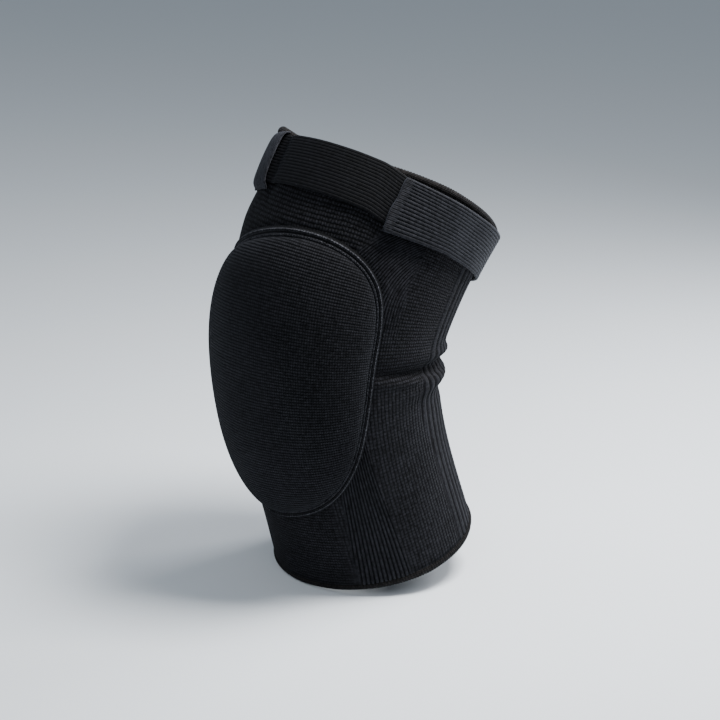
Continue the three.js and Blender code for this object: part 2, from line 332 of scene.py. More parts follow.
def grid_piece(name, points, knit, groove_shade, ring_rows=False, ring_columns=True):
    """A smooth mesh from rows of points. knit has one more row or column where the grid closes."""
    rows, columns = points.shape[:2]
    place = np.arange(rows * columns).reshape(rows, columns)
    chart = np.arange(knit.shape[0] * knit.shape[1]).reshape(knit.shape[:2])
    if ring_rows:
        place = np.concatenate([place, place[:1]], axis=0)
    if ring_columns:
        place = np.concatenate([place, place[:, :1]], axis=1)

    def corners(grid):
        quads = [grid[:-1, :-1], grid[:-1, 1:], grid[1:, 1:], grid[1:, :-1]]
        return np.stack(quads, -1).reshape(-1, 4)

    faces = corners(place)
    chart_faces = corners(chart)
    flat = points.reshape(-1, 3)
    across = np.cross(flat[faces[:, 1]] - flat[faces[:, 0]], flat[faces[:, 2]] - flat[faces[:, 0]])
    if (across * (flat[faces[:, 0]] - flat.mean(0))).sum() < 0:
        faces = faces[:, ::-1]
        chart_faces = chart_faces[:, ::-1]
    mesh = bpy.data.meshes.new(name)
    mesh.vertices.add(len(flat))
    mesh.vertices.foreach_set("co", flat.ravel())
    mesh.loops.add(faces.size)
    mesh.loops.foreach_set("vertex_index", np.ascontiguousarray(faces).ravel().astype(np.int32))
    mesh.polygons.add(len(faces))
    mesh.polygons.foreach_set("loop_start", np.arange(0, faces.size, 4, dtype=np.int32))
    mesh.polygons.foreach_set("use_smooth", np.ones(len(faces), dtype=bool))
    mesh.update(calc_edges=True)
    layer = mesh.uv_layers.new(name="knit")
    layer.data.foreach_set("uv", (knit.reshape(-1, 2)[chart_faces.ravel()] * MM).ravel())
    # groove_shade is painted shade from 0 to 1, which the material turns into darker colour
    mark_points(mesh, "groove_shade", groove_shade)
    piece = bpy.data.objects.new(name, mesh)
    bpy.context.scene.collection.objects.link(piece)
    return piece


def finish_piece(piece, material, node):
    piece.data.materials.append(material)
    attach(piece, "root")
    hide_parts(node)
    return piece


# Outline of the padded front

def pad_outline(turn):
    """The seam's centre line on the flat plan: millimetres across and up from the pad's middle."""
    def shape(value):
        return np.sign(value) * np.abs(value) ** (2 / PAD_SQUARE)

    up, side = shape(np.sin(turn)), shape(np.cos(turn))
    across = side * PAD_WIDTH / 2 * (1 + PAD_EGG * up + PAD_WAIST * (up * up - 1 / 3))
    return np.stack([across, up * PAD_HALF_HEIGHT], -1)


def pad_place(plan):
    """Distance along the leg and angle of a point on the pad's plan."""
    tilt = math.radians(PAD_TILT)
    across = plan[..., 0] * math.cos(tilt) + plan[..., 1] * math.sin(tilt)
    up = plan[..., 1] * math.cos(tilt) - plan[..., 0] * math.sin(tilt)
    return PAD_MIDDLE + up, PAD_TURN + np.degrees(across / PAD_RADIUS)


OUTLINE_TURNS = np.linspace(-np.pi, np.pi, 2001)
OUTLINE = pad_outline(OUTLINE_TURNS)
OUTLINE_BEARING = np.unwrap(np.arctan2(OUTLINE[:, 1], OUTLINE[:, 0]))
OUTLINE_REACH = np.hypot(OUTLINE[:, 0], OUTLINE[:, 1])


def reach_of(bearing):
    """Distance from the pad's middle to the seam's centre line in a direction."""
    return np.interp(bearing, OUTLINE_BEARING, OUTLINE_REACH, period=2 * np.pi)


def seam_distance(along, angle):
    """Millimetres from the seam's centre line, positive outside the pad."""
    tilt = math.radians(PAD_TILT)
    across = np.radians(from_front(angle) - PAD_TURN) * PAD_RADIUS
    up = along - PAD_MIDDLE
    x = across * math.cos(tilt) - up * math.sin(tilt)
    y = across * math.sin(tilt) + up * math.cos(tilt)
    return np.hypot(x, y) - reach_of(np.arctan2(y, x))


# Knit of the sleeve

# Spacing and depth of the upright ribs: behind the knee, low at the sides, and high at the sides
BACK_RIB = 5.6
BACK_DEPTH = 0.75
LOW_RIB = 2.56
LOW_DEPTH = 1.8
HIGH_RIB = 1.5
HIGH_DEPTH = 1.35

# Where each field of ribs fades in and out: degrees from the front, or places along the leg
BACK_EDGE = (108, 112)
LOW_EDGES = ((35, 39), (68.5, 71.5))
LOW_TOP = (84, 98)
HIGH_FRONT = (42, 47)
HIGH_BACK = (78, 84)
HIGH_BOTTOM = (128, 148)


def knit_relief(along, angle):
    """Height of the relief in millimetres, painted shade from 0 to 1 by the depth in the rib valleys
    and along the crease, and share of ribbing.
    """
    side = np.abs(from_front(angle))
    # Low at the sides the ribs draw closer together, the higher they run
    gathered = 1 - 0.36 * np.clip(along / 66, 0, 1.35)
    right_edge = 69.5 - 4.5 * (along / 83) ** 1.5
    low = 69 - (right_edge - side) / gathered
    low_mask = smooth(low, *LOW_EDGES[0]) * (1 - smooth(low, *LOW_EDGES[1]))
    low_mask = low_mask * (1 - smooth(along, *LOW_TOP))
    low_ribs = ripple(low / LOW_RIB)
    # High at the sides they curve back, and behind the knee they are deepest in the folds
    high = side - 14 * (np.clip(along - 150, 0, 60) / 30) ** 2
    high_mask = smooth(high, *HIGH_FRONT) * (1 - smooth(side, *HIGH_BACK))
    high_mask = high_mask * smooth(along, *HIGH_BOTTOM)
    high_ribs = ripple(high / HIGH_RIB)
    back = side + 8 * hump(along, 97, 22)
    back_mask = smooth(back, *BACK_EDGE)
    back_ribs = ripple((180 - side) / BACK_RIB + 0.5)
    gathers = 1 + 1.1 * hump(along, 110, 8)
    parts = ((low_mask, low_ribs, LOW_DEPTH), (high_mask, high_ribs, HIGH_DEPTH),
             (back_mask, back_ribs, BACK_DEPTH * gathers))
    height = sum(mask * (ribs - 0.75) * depth for mask, ribs, depth in parts)
    # Painted shade, strongest at the bottom of each rib valley
    groove_shade = sum(mask * (1 - ribs) ** 0.5 for mask, ribs, depth in parts)
    ribbed = sum(mask for mask, ribs, depth in parts)
    # The crease gives relief, and its painted shade joins the painted shade of the rib valleys
    crease, dark = crease_relief(along, angle)
    return height + crease, np.maximum(groove_shade, 0.45 * dark), ribbed


def upright_at(along, angle):
    """Share of the upright ribbing in the knit: 1 on the sides below the crease, 0 elsewhere."""
    side = np.abs(from_front(angle))
    return smooth(side, 34, 42) * (1 - smooth(along + 0.1 * side, 116, 126))


def knit_chart(along, angle):
    """Flat place on the cloth in millimetres: across the wales, and along the leg."""
    return np.stack(np.broadcast_arrays(np.radians(angle) * KNIT_RADIUS, along), -1)


def stretched_rows(along, angle):
    """Place of the sleeve's rows along the leg: they are pulled a little apart above the pad."""
    front = 1 - smooth(np.abs(from_front(angle)), 40, 75)
    return along - 0.12 * front * np.clip(along - PAD_TOP + 12, 0, None)


def spans(*stretches):
    """Values in stretches of (start, end, step); the last end is left out."""
    return np.concatenate([np.linspace(a, b, max(int(round(abs(b - a) / s)), 1), endpoint=False)
                           for a, b, s in stretches])


def make_sleeve(material):
    """One closed cloth tube: the outside from hem to rim, then the inside back down. The rows and
    columns of points lie closest where the ribs and the folds are."""
    end = HEM_HEIGHT - 0.4
    angles = spans((-180, -113, 1.1), (-113, -84, 1.6), (-84, -40, 0.6), (-40, 42, 2.2),
                   (42, 84, 0.28), (84, 104, 1.2), (104, 180, 0.7))
    outer = spans((end, 40, 2.6), (40, 92, 1.8), (92, 130, 0.85), (130, 156, 1.6), (156, 164, 1.0),
                  (164, 187, 0.5), (187, SLEEVE_LENGTH - end, 3.0))
    inner = spans((SLEEVE_LENGTH - end, 150, 8.0), (150, 92, 4.0), (92, end, 9.0))
    outer, inner = np.append(outer, SLEEVE_LENGTH - end), np.append(inner, end)
    angle, course = np.meshgrid(angles, outer)
    along = course_at(course, angle)
    height, groove_shade, ribbed = knit_relief(along, angle)
    near_seam = seam_distance(along, angle)
    drawn = -0.6 * hump(near_seam, 2.4, 1.8)
    out = np.where(near_seam < -2, 0, height + drawn + 0.25 * uneven(along, angle, 17, 1.0))
    outside = on_sleeve(along, angle, out)
    angle_in, course_in = np.meshgrid(angles, inner)
    inside = on_sleeve(course_at(course_in, angle_in), angle_in, -SLEEVE_WALL)
    points = np.concatenate([outside, inside])
    # The inside takes an even share of the mark, so it is darker all over
    groove_shade = np.concatenate([groove_shade, np.full(angle_in.shape, 0.3)])
    rows = np.concatenate([outer, inner, outer[:1]])
    row, turn = np.meshgrid(rows, np.append(angles, 180), indexing="ij")
    chart = knit_chart(stretched_rows(row, turn), turn)
    sleeve = grid_piece("knit_sleeve", points, chart, groove_shade, True, True)
    mark_points(sleeve.data, "upright", np.concatenate([upright_at(along, angle), 0 * angle_in]))
    mark_points(sleeve.data, "ribbed", np.concatenate([ribbed, 0 * angle_in]))
    return finish_piece(sleeve, material, "sleeve")


# Padded front

def pad_height(share):
    """Rise of the foam at a share of the way from the pad's middle to its edge."""
    crown = np.clip(1 - share**3.1, 0, 1) ** 0.7
    return PAD_EDGE + (PAD_RISE - PAD_EDGE) * crown


def make_padded_front(material):
    """The ribbed cover over the foam. A square grid is drawn out to a disc, and the disc to the pad."""
    u, v = np.meshgrid(np.linspace(-1, 1, 210), np.linspace(-1, 1, 320))
    disc = np.stack([u * np.sqrt(1 - v * v / 2), v * np.sqrt(1 - u * u / 2)], -1)
    share = np.hypot(disc[..., 0], disc[..., 1])
    bearing = np.arctan2(disc[..., 1], disc[..., 0])
    edge = reach_of(bearing)
    reach = share * (edge - SEAM_WIDTH / 2 + 0.6)
    plan = np.stack([reach * np.cos(bearing), reach * np.sin(bearing)], -1)
    along, angle = pad_place(plan)
    row = front_length(along) + PAD_ROW_DRIFT * uneven(along, angle, 7, 5.0)
    ribs = ripple(row / PAD_RIB)
    calm = 1 - smooth(share, 0.96, 0.995)
    soft = PAD_SOFTNESS * uneven(along, angle, 19, 2.2)
    out = PAD_OFF_CLOTH + pad_height(share) + calm * (PAD_RIB_HEIGHT * ribs + soft)
    rim = share > 0.9985
    points = on_sleeve(along, angle, np.where(rim, 0.1, out))
    chart = knit_chart(row, angle)
    # The mark is painted shade between the cover's ribs
    pad = grid_piece("padded_front", points, chart, calm * (1 - ribs) ** 1.4, False, False)
    finish_piece(pad, material, "knee_pad")


def make_pad_seam(material):
    """A narrow band along the seam's centre line, with two ridges of stitches and a fine edge."""
    turns = np.linspace(-np.pi, np.pi, 1400, endpoint=False)
    plan = pad_outline(turns)
    step = np.hypot(*np.diff(np.append(plan, plan[:1], axis=0), axis=0).T)
    run = np.concatenate([[0], np.cumsum(step)])
    even = np.linspace(0, run[-1], 1300, endpoint=False)
    turns = np.interp(even, run, np.append(turns, np.pi))
    plan = pad_outline(turns)
    tangent = np.roll(plan, -1, axis=0) - np.roll(plan, 1, axis=0)
    normal = np.stack([tangent[:, 1], -tangent[:, 0]], -1)
    normal /= np.hypot(normal[:, 0], normal[:, 1])[:, None]
    across = np.linspace(-0.5, 0.5, 27)
    ridge = hump(np.abs(across), 0.2, 0.095) + 0.35 * hump(across, -0.44, 0.06)
    edge = 1 - np.abs(across * 2) ** 10
    beads = np.abs(np.sin(np.pi * even / STITCH))[:, None]
    rise = (0.2 + 0.8 * ridge * (0.8 + 0.2 * beads)) * edge
    points_plan = plan[:, None, :] + normal[:, None, :] * (across * SEAM_WIDTH)[None, :, None]
    along, angle = pad_place(points_plan)
    points = on_sleeve(along, angle, 0.1 + SEAM_RISE * rise)
    chart = np.stack(np.broadcast_arrays(np.append(even, run[-1])[:, None], across * SEAM_WIDTH), -1)
    # Painted shade between the two ridges, and between the stitches along them
    groove_shade = np.clip(1 - ridge, 0, 1) ** 0.9 + 0.2 * (1 - beads) * ridge
    seam = grid_piece("pad_seam_stitching", points, chart, groove_shade, True, False)
    return finish_piece(seam, material, "pad_seam")


# Rolled, overlocked edges

def make_hem(name, node, middle, wraps, gather, material):
    """A rolled edge wound with yarn. wraps is how many turns of yarn go round it, and gather is how
    far it stands up beside the keeper."""
    turns = np.linspace(0, 2 * np.pi, 20, endpoint=False)
    angles = spans((-180, 180, 0.3))
    turn, angle = np.meshgrid(turns, angles)
    wound = np.abs(np.sin(np.radians(angle) / 2 * wraps + 0.9 * np.sin(turn)))
    drift = HEM_DRIFT * uneven(60 * np.cos(np.radians(angle)), angle, 9, 4.0)
    swell = YARN_SWELL * (wound - 0.6) + drift
    half_out = SLEEVE_WALL / 2 + HEM_BULGE - 0.15
    gathered = gather * hump(angle, GATHER_TURN, GATHER_REACH)
    swell = swell + 0.6 * gathered
    middle = middle - 0.3 * gathered
    along = middle + (HEM_HEIGHT / 2 + swell) * np.cos(turn)
    out = (half_out + swell) * np.sin(turn) - SLEEVE_WALL / 2 + 1.3 * gathered
    points = on_sleeve(course_at(along, angle), angle, out)
    closed_angle, closed_turn = np.append(angles, 180), np.append(turns, 2 * np.pi)
    chart = np.stack(np.broadcast_arrays(closed_angle[:, None], closed_turn[None, :] * 2), -1)
    # The mark is painted shade between the turns of yarn
    hem = grid_piece(name, points, chart, (1 - wound) ** 1.5, True, True)
    return finish_piece(hem, material, node)


# Elastic strap

def turn_of(length):
    """Degrees that a length takes up round the thigh."""
    return math.degrees(length / (THIGH[0] / 2))


def raise_at(angle):
    """How far the front strap lies above the rear one, before it slips under the tab."""
    free = 1 - smooth(angle, TAB_TURN - 12, TAB_TURN + 6)
    return STRAP_RAISE * free * ((1 + np.cos(np.radians(angle - RAISE_TURN))) / 2) ** 4


def across_strap(across, angle, lift):
    """Distance along the leg to a place across a strap, in millimetres from its middle."""
    middle = STRAP_MIDDLE - STRAP_SLANT * np.cos(np.radians(angle)) + lift
    ends = on_sleeve(middle + 0.5, angle, 0) - on_sleeve(middle - 0.5, angle, 0)
    return middle + across / (np.linalg.norm(ends, axis=-1) / MM)


def strap_loop(ribs, per_rib, ribbing):
    """Round a strap's section: place across from -0.5 to 0.5, share of the thickness, and painted shade
    between its ribs, by how deep each place lies between them. ribbing is how strongly the ribs stand
    out, in relief and in painted shade."""
    face = np.linspace(-0.5, 0.5, ribs * per_rib + 1)
    dip = 1 - ripple((face + 0.5) * ribs)
    rounded = (1 - np.abs(face * 2) ** 24) ** 0.5
    outer = 0.5 + 0.5 * rounded - STRAP_GROOVE * ribbing * dip * rounded
    back = np.linspace(0.49, -0.49, 12)
    across = np.concatenate([face, back])
    level = np.concatenate([outer, np.full(back.shape, 0.02)])
    groove_shade = np.concatenate([ribbing * dip**0.6 * rounded, np.zeros(back.shape)])
    return across, level, groove_shade


def make_strap(name, node, angles, seat, thickness, lift, ribbing, material, end_slant=None):
    """A strap from its first angle to its last. With an end_slant its first end is the folded tab."""
    across, level, groove_shade = strap_loop(STRAP_RIBS, 9, ribbing)
    angle = angles[:, None] + np.zeros(len(across))
    level, groove_shade, spread = level + 0 * angle, groove_shade + 0 * angle, across + 0 * angle
    if end_slant is not None:
        near = 1 - smooth(angle, angles[0], angles[0] + END_TURN)
        flare = np.clip(1 - (angle - angles[0]) / FLARE_TURN, 0, 1)
        folded = 1 - smooth(angle, angles[0] + FOLD_TURNS[0], angles[0] + FOLD_TURNS[1])
        level = np.where(level > 0.1, level + folded * 0.25 * groove_shade, level)
        # Less painted shade on the folded end
        groove_shade = groove_shade * (1 - 0.75 * folded)
        spread = across - flare * np.clip(0.2 - across, 0, 1) * FLARE_SHARE
        angle = angle + near * end_slant(across)[None, :]
    seat, thickness, lift = seat[:, None], thickness[:, None], lift[:, None]
    pulled = STRAP_SLACK * uneven(angle * 1.6, angle, 11, 3.0) * (0.4 + np.abs(across)[None, :])
    out = seat + thickness * level + np.where(level > 0.1, pulled, 0)
    along = across_strap(spread * STRAP_WIDTH, angle, lift)
    points = on_sleeve(along, angle, out)
    for i, j, cut in ((0, 1, PLAIN_END if end_slant is None else TAB_END), (-1, -2, PLAIN_END)):
        points[i] = points[j].mean(axis=0) * cut + points[i] * (1 - cut)
    ends = [points[:1] * 0 + points[0].mean(axis=0), points, points[-1:] * 0 + points[-1].mean(axis=0)]
    points = np.concatenate(ends)
    angle = np.concatenate([angle[:1], angle, angle[-1:]])
    round_thigh = np.radians(angle) * STRAP_RADIUS
    chart = np.stack([round_thigh, np.broadcast_to(across * STRAP_WIDTH, angle.shape)], -1)
    chart = np.concatenate([chart, chart[:, :1]], axis=1)
    marks = np.concatenate([groove_shade[:1], groove_shade, groove_shade[-1:]])
    strap = grid_piece(name, points, chart, marks, False, True)
    mark_points(strap.data, "ribbed", np.ones(marks.shape))
    finish_piece(strap, material, node)


def make_straps(front_material, rear_material):
    front_end = TAB_TURN + turn_of(TAB_LAP)
    angles = spans((STRAP_JOINT + 0.1, -20, 1.2), (-20, 2, 0.5), (2, front_end, 1.2))
    plain = np.ones(len(angles))
    make_strap("front_elastic", "front_strap", angles, STRAP_SEAT * plain, STRAP_THICKNESS * plain,
               raise_at(angles), 0.5, front_material)
    lap_end = front_end + turn_of(TAB_CLEAR)
    joint = 360 + STRAP_JOINT - 0.1
    angles = np.append(spans((TAB_TURN, TAB_TURN + 6, 0.5), (TAB_TURN + 6, joint, 1.2)), joint)
    down = smooth(angles, lap_end, lap_end + turn_of(TAB_RISE))
    seat = TAB_SEAT + (STRAP_SEAT - TAB_SEAT) * down
    thickness = TAB_THICKNESS + (STRAP_THICKNESS - TAB_THICKNESS) * smooth(angles, TAB_TURN, lap_end)
    thickness = thickness + 0.5 * hump(angles, TAB_TURN + 2.5, 2.2)
    make_strap("rear_elastic_tab", "rear_strap", angles, seat, thickness, 0 * angles, 1.0,
               rear_material, lambda across: 0.4 * np.sin(across * 9) + 0.8 * across)


def make_keeper(material):
    """The tape over the front strap. Its path is drawn as corners, and then they are softened."""
    edge = STRAP_WIDTH / 2 + KEEPER_CLEAR
    over = STRAP_SEAT + STRAP_THICKNESS
    path = [(-edge - KEEPER_FOOT, KEEPER_CLEAR), (-edge - STRAP_THICKNESS, KEEPER_CLEAR),
            (-edge, over)]
    path += [(across * STRAP_WIDTH, TAB_SEAT + stand * KEEPER_STAND)
             for across, stand in KEEPER_BOW]
    path += [(edge, over), (edge + KEEPER_HEAD / 2, KEEPER_CLEAR),
             (edge + KEEPER_HEAD, KEEPER_CLEAR)]
    path = np.array(path)
    run = np.concatenate([[0], np.cumsum(np.hypot(*np.diff(path, axis=0).T))])
    fine = np.linspace(0, run[-1], 90)
    path = np.stack([np.interp(fine, run, path[:, k]) for k in (0, 1)], -1)
    for _ in range(KEEPER_SOFTENING):
        path[1:-1] = (path[:-2] + 2 * path[1:-1] + path[2:]) / 4
    forward = np.gradient(path, axis=0)
    forward /= np.hypot(forward[:, 0], forward[:, 1])[:, None]
    outward = np.stack([-forward[:, 1], forward[:, 0]], -1)
    side = np.linspace(-1, 1, 41)
    rounded = (1 - np.abs(side) ** 16) ** 0.5
    wale = 1 - ripple((side + 1) / 2 * KEEPER_RIBS)
    lift = np.concatenate([(0.5 + 0.5 * rounded) * KEEPER_THICKNESS - KEEPER_GROOVE * wale * rounded,
                           (0.5 - 0.5 * rounded[::-1]) * KEEPER_THICKNESS])
    across = np.concatenate([side, side[::-1]])
    half_angle = turn_of(KEEPER_WIDTH / 2)
    spot = path[:, None, :] + outward[:, None, :] * lift[None, :, None]
    angle = KEEPER_TURN + across[None, :] * half_angle + np.zeros(spot.shape[:2])
    points = on_sleeve(across_strap(spot[..., 0], angle, raise_at(angle)), angle, spot[..., 1], 0.0)
    first, last = points[:1] * 0 + points[0].mean(axis=0), points[:1] * 0 + points[-1].mean(axis=0)
    points = np.concatenate([first, points, last])
    run = np.concatenate([fine[:1], fine, fine[-1:]])
    closed = np.append(across, across[0]) * KEEPER_WIDTH / 2
    chart = np.stack(np.broadcast_arrays(run[:, None], closed[None, :]), -1)
    # The mark is painted shade between the tape's ribs on its outer side
    marks = np.broadcast_to(np.concatenate([wale, wale * 0]), points.shape[:2])
    keeper = grid_piece("keeper_tape", points, chart, marks, False, True)
    finish_piece(keeper, material, "keeper_loop")


# Materials

# A stitch: drift of its rows, beads across one stitch, and how far the ribbing calms the stitches
STITCH_DRIFT = 0.45
STITCH_BEADS = 1.45
RIBBING_CALM = 0.8

# The yarn in every cloth: how soon a stitch's edge turns to the painted shade colour, tones of its
# patches and single stitches, fibre, and its soft shine
GROOVE_SHADE_GAIN = 1.1
PATCH_SHARE = 0.7
PATCH_FLOOR = 0.1
STITCH_TONE = 2.6
FLUFF_GAIN = 14.0
FIBRE_RELIEF = 0.35
FIBRE_ROUGHNESS = 0.2
BUMP_STRENGTH = 0.9
SPECULAR = 0.08
SHEEN_ROUGHNESS = 0.55
SHEEN_TINT = (0.62, 0.68, 0.85, 1)


def new_group(name, inputs, outputs):
    group = bpy.data.node_groups.new(name, "ShaderNodeTree")
    for label, kind, value in inputs:
        socket = group.interface.new_socket(name=label, in_out="INPUT", socket_type=kind)
        if value is not None:
            socket.default_value = value
    for label, kind in outputs:
        group.interface.new_socket(name=label, in_out="OUTPUT", socket_type=kind)
    return group, group.nodes.new("NodeGroupInput"), group.nodes.new("NodeGroupOutput")


def math_node(tree, operation, first, second=None, third=None):
    node = tree.nodes.new("ShaderNodeMath")
    node.operation = operation
    for socket, value in zip(node.inputs, (first, second, third)):
        if value is None:
            continue
        if isinstance(value, (int, float)):
            socket.default_value = value
        else:
            tree.links.new(value, socket)
    return node.outputs[0]


def waves(tree, place, turns):
    """The size of a sine that runs through a number of half turns with each unit of place."""
    sine = math_node(tree, "SINE", math_node(tree, "MULTIPLY", place, turns * math.pi))
    return math_node(tree, "ABSOLUTE", sine)


def noise_at(tree, place, scale, detail):
    noise = tree.nodes.new("ShaderNodeTexNoise")
    noise.inputs["Scale"].default_value = scale
    noise.inputs["Detail"].default_value = detail
    tree.links.new(place, noise.inputs["Vector"])
    return noise.outputs["Fac"]


def stitch_group():
    """Rows of small knitted stitches: their height, from 0 between stitches to 1 on the yarn."""
    group, given, result = new_group(
        "knit stitches",
        [("Place", "NodeSocketVector", None), ("Wale", "NodeSocketFloat", 0.001),
         ("Course", "NodeSocketFloat", 0.001), ("Lean", "NodeSocketFloat", 0.3),
         ("Upright", "NodeSocketFloat", 0.0), ("Ribbed", "NodeSocketFloat", 0.0)],
        [("Height", "NodeSocketFloat")])
    split = group.nodes.new("ShaderNodeSeparateXYZ")
    group.links.new(given.outputs["Place"], split.inputs[0])
    wobble = noise_at(group, given.outputs["Place"], 260.0, 2.0)
    drift = math_node(group, "MULTIPLY", math_node(group, "SUBTRACT", wobble, 0.5), STITCH_DRIFT)
    across = math_node(group, "DIVIDE", split.outputs[0], given.outputs["Wale"])
    across = math_node(group, "ADD", across, drift)
    fold = math_node(group, "PINGPONG", across, 0.5)
    leaned = math_node(group, "MULTIPLY", fold, given.outputs["Lean"])
    up = math_node(group, "DIVIDE", split.outputs[1], given.outputs["Course"])
    up = math_node(group, "ADD", math_node(group, "ADD", up, leaned), drift)
    wale = waves(group, across, 1)
    bead = waves(group, across, STITCH_BEADS)
    dash = waves(group, up, 1)
    dots = math_node(group, "MULTIPLY", dash, math_node(group, "MULTIPLY_ADD", bead, 0.7, 0.3))
    ribs = math_node(group, "MULTIPLY", math_node(group, "POWER", wale, 0.6),
                     math_node(group, "MULTIPLY_ADD", dash, 0.5, 0.5))
    blend = group.nodes.new("ShaderNodeMix")
    group.links.new(given.outputs["Upright"], blend.inputs["Factor"])
    group.links.new(dots, blend.inputs["A"])
    group.links.new(ribs, blend.inputs["B"])
    calm = group.nodes.new("ShaderNodeMix")
    ribbed = math_node(group, "MULTIPLY", given.outputs["Ribbed"], RIBBING_CALM)
    group.links.new(ribbed, calm.inputs["Factor"])
    group.links.new(blend.outputs["Result"], calm.inputs["A"])
    calm.inputs["B"].default_value = 1.0
    group.links.new(calm.outputs["Result"], result.inputs["Height"])
    return group


def yarn_group():
    """Unevenness of dyed yarn: slow patches, fine fibre and pale specks of fluff."""
    group, given, result = new_group(
        "yarn unevenness",
        [("Place", "NodeSocketVector", None), ("Specks", "NodeSocketFloat", 0.78)],
        [("Patches", "NodeSocketFloat"), ("Stitch", "NodeSocketFloat"), ("Fibre", "NodeSocketFloat"),
         ("Fluff", "NodeSocketFloat")])
    place = given.outputs["Place"]
    for label, scale, detail in (("Patches", 38, 3), ("Stitch", 520, 1), ("Fibre", 1500, 3)):
        group.links.new(noise_at(group, place, scale, detail), result.inputs[label])
    specks = math_node(group, "SUBTRACT", noise_at(group, place, 700, 1), given.outputs["Specks"])
    specks = math_node(group, "MULTIPLY", specks, FLUFF_GAIN)
    clamp = group.nodes.new("ShaderNodeClamp")
    group.links.new(specks, clamp.inputs["Value"])
    group.links.new(clamp.outputs[0], result.inputs["Fluff"])
    return group


STITCHES = stitch_group()
YARN = yarn_group()


def cloth(name, shade_colour, face, pale, wale, course, lean, stitch_depth, sheen, roughness):
    """Knitted or woven yarn: shade_colour is the painted shade in the grooves between stitches and
    ribs, face the yarn, pale the fluff on it. wale and course are the width and the height of a stitch,
    and lean is its slant."""
    material = bpy.data.materials.new(name)
    material.use_nodes = True
    tree = material.node_tree
    shader = tree.nodes["Principled BSDF"]
    chart = tree.nodes.new("ShaderNodeUVMap")
    chart.uv_map = "knit"
    solid = tree.nodes.new("ShaderNodeTexCoord")
    stitches = tree.nodes.new("ShaderNodeGroup")
    stitches.node_tree = STITCHES
    stitches.inputs["Wale"].default_value = wale * MM
    stitches.inputs["Course"].default_value = course * MM
    stitches.inputs["Lean"].default_value = lean
    for mark, socket in (("upright", "Upright"), ("ribbed", "Ribbed")):
        share = tree.nodes.new("ShaderNodeAttribute")
        share.attribute_name = mark
        tree.links.new(share.outputs["Fac"], stitches.inputs[socket])
    tree.links.new(chart.outputs["UV"], stitches.inputs["Place"])
    yarn = tree.nodes.new("ShaderNodeGroup")
    yarn.node_tree = YARN
    tree.links.new(solid.outputs["Object"], yarn.inputs["Place"])
    groove_shade = tree.nodes.new("ShaderNodeAttribute")
    groove_shade.attribute_name = "groove_shade"

    # The colour: face on the yarn, and painted shade between stitches and ribs, where the stitches are
    # low or the groove_shade mark is high
    low = math_node(tree, "SUBTRACT", 1.0, stitches.outputs["Height"])
    low = math_node(tree, "MULTIPLY", low, GROOVE_SHADE_GAIN)
    low = math_node(tree, "MAXIMUM", low, groove_shade.outputs["Fac"])
    mix = tree.nodes.new("ShaderNodeMix")
    mix.data_type = "RGBA"
    mix.inputs["A"].default_value = (*face, 1)
    mix.inputs["B"].default_value = (*shade_colour, 1)
    tree.links.new(low, mix.inputs["Factor"])
    patch = tree.nodes.new("ShaderNodeMix")
    patch.data_type = "RGBA"
    patch.blend_type = "MULTIPLY"
    patch.inputs["Factor"].default_value = PATCH_SHARE
    tree.links.new(mix.outputs["Result"], patch.inputs["A"])
    slow = math_node(tree, "ADD", yarn.outputs["Patches"], PATCH_FLOOR)
    quick = math_node(tree, "SUBTRACT", yarn.outputs["Stitch"], 0.5)
    shade = math_node(tree, "MULTIPLY_ADD", quick, STITCH_TONE, slow)
    tree.links.new(shade, patch.inputs["B"])
    fluff = tree.nodes.new("ShaderNodeMix")
    fluff.data_type = "RGBA"
    fluff.inputs["B"].default_value = (*pale, 1)
    tree.links.new(patch.outputs["Result"], fluff.inputs["A"])
    tree.links.new(yarn.outputs["Fluff"], fluff.inputs["Factor"])
    tree.links.new(fluff.outputs["Result"], shader.inputs["Base Color"])

    # The relief: stitches, with fibre on them
    fibre = math_node(tree, "MULTIPLY", yarn.outputs["Fibre"], FIBRE_RELIEF)
    relief = math_node(tree, "ADD", stitches.outputs["Height"], fibre)
    bump = tree.nodes.new("ShaderNodeBump")
    bump.inputs["Strength"].default_value = BUMP_STRENGTH
    bump.inputs["Distance"].default_value = stitch_depth * MM
    tree.links.new(relief, bump.inputs["Height"])
    tree.links.new(bump.outputs["Normal"], shader.inputs["Normal"])
    rough = math_node(tree, "MULTIPLY_ADD", yarn.outputs["Fibre"], FIBRE_ROUGHNESS,
                      roughness - FIBRE_ROUGHNESS / 2)
    tree.links.new(rough, shader.inputs["Roughness"])
    shader.inputs["Specular IOR Level"].default_value = SPECULAR
    shader.inputs["Sheen Weight"].default_value = sheen
    shader.inputs["Sheen Roughness"].default_value = SHEEN_ROUGHNESS
    shader.inputs["Sheen Tint"].default_value = SHEEN_TINT
    return material


def plain_floor(low):
    size = 6.0
    mesh = bpy.data.meshes.new("floor")
    corners = [(-size, -size, low), (size, -size, low), (size, size, low), (-size, size, low)]
    mesh.from_pydata(corners, [], [(0, 1, 2, 3)])
    floor = bpy.data.objects.new("floor", mesh)
    bpy.context.scene.collection.objects.link(floor)
    material = bpy.data.materials.new("floor")
    material.use_nodes = True
    shader = material.node_tree.nodes["Principled BSDF"]
    shader.inputs["Base Color"].default_value = (0.72, 0.76, 0.8, 1)
    shader.inputs["Roughness"].default_value = 0.85
    floor.data.materials.append(material)


# Camera and light

def camera_axes():
    turn, rise = math.radians(CAMERA_TURN), math.radians(CAMERA_RISE)
    back = np.array([math.sin(turn) * math.cos(rise), -math.cos(turn) * math.cos(rise), math.sin(rise)])
    right = np.array([math.cos(turn), math.sin(turn), 0.0])
    return right, np.cross(back, right), back


